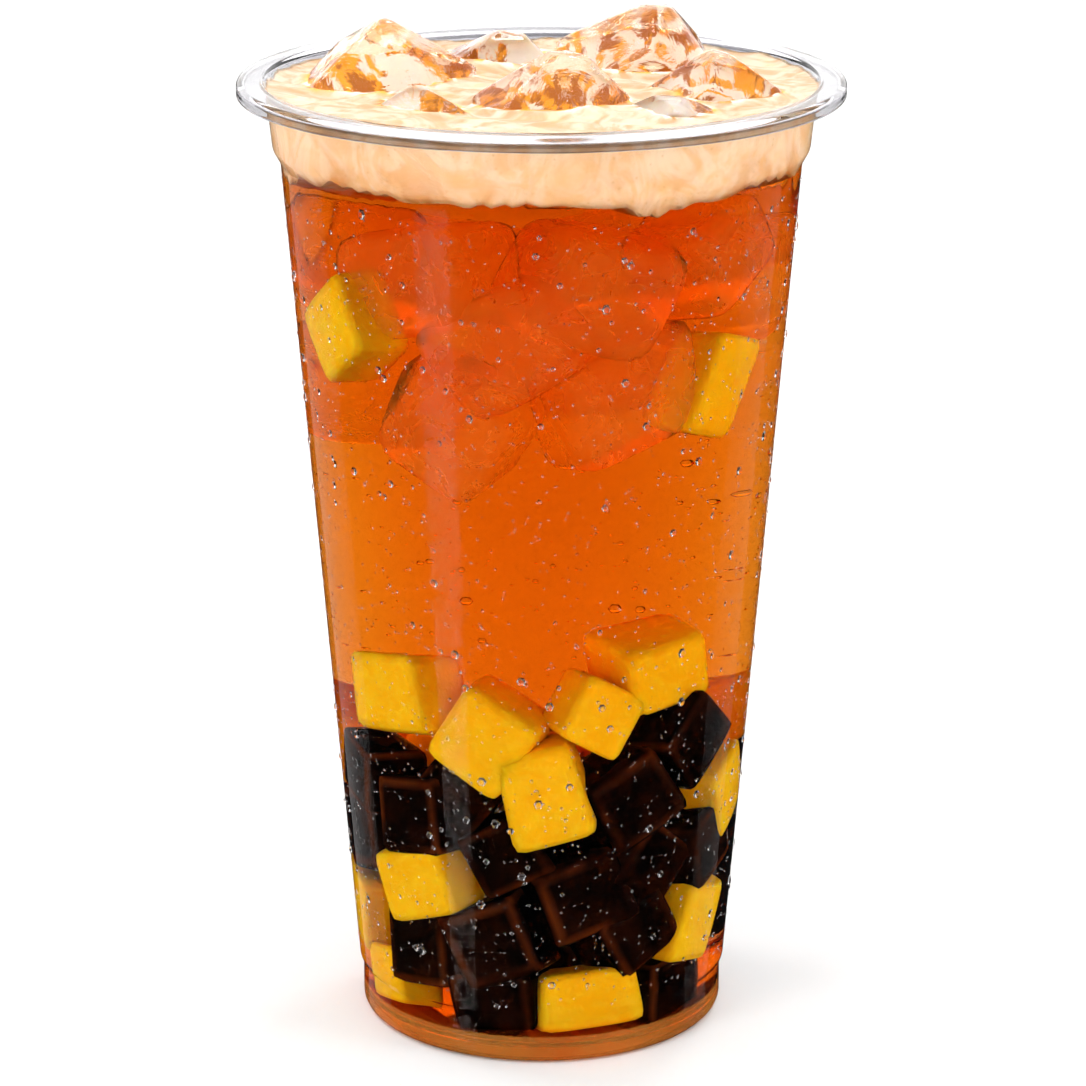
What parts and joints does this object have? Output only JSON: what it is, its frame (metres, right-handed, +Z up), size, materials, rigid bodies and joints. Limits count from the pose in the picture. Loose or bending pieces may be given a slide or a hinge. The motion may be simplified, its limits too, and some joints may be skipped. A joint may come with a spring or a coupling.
{
  "type": "bubble tea",
  "caption": "Iced fruit tea in a tall clear tapered takeaway cup with a rolled rim, a layer of milk foam and lumps of ice standing out of the foam",
  "frame": {"origin": "centre of the foot ring, on the surface that the cup stands on", "axes": "+Z up along the cup's axis, -Y towards the viewer of the picture, +X to the viewer's right"},
  "size_m": [0.098, 0.098, 0.1667],
  "materials": {
    "clear_plastic": "clear, polished, misted with fine drops of condensation",
    "tea": "clear glowing amber liquid",
    "milk_foam": "soft cream foam with fine bubbles and pale streaks",
    "ice": "wet clear ice with pale cracks",
    "mango": "moist ripe fruit flesh, slightly fibrous",
    "jelly": "dark glossy jelly with translucent brown edges"
  },
  "bodies": {
    "root": {"cup": "clear_plastic", "tea": "tea", "foam": "milk_foam", "ice_left": "ice", "ice_front_left": "ice", "ice_back_left": "ice", "ice_centre": "ice", "ice_back_right": "ice", "ice_right": "ice", "ice_front_right": "ice"}
  },
  "joints": []
}
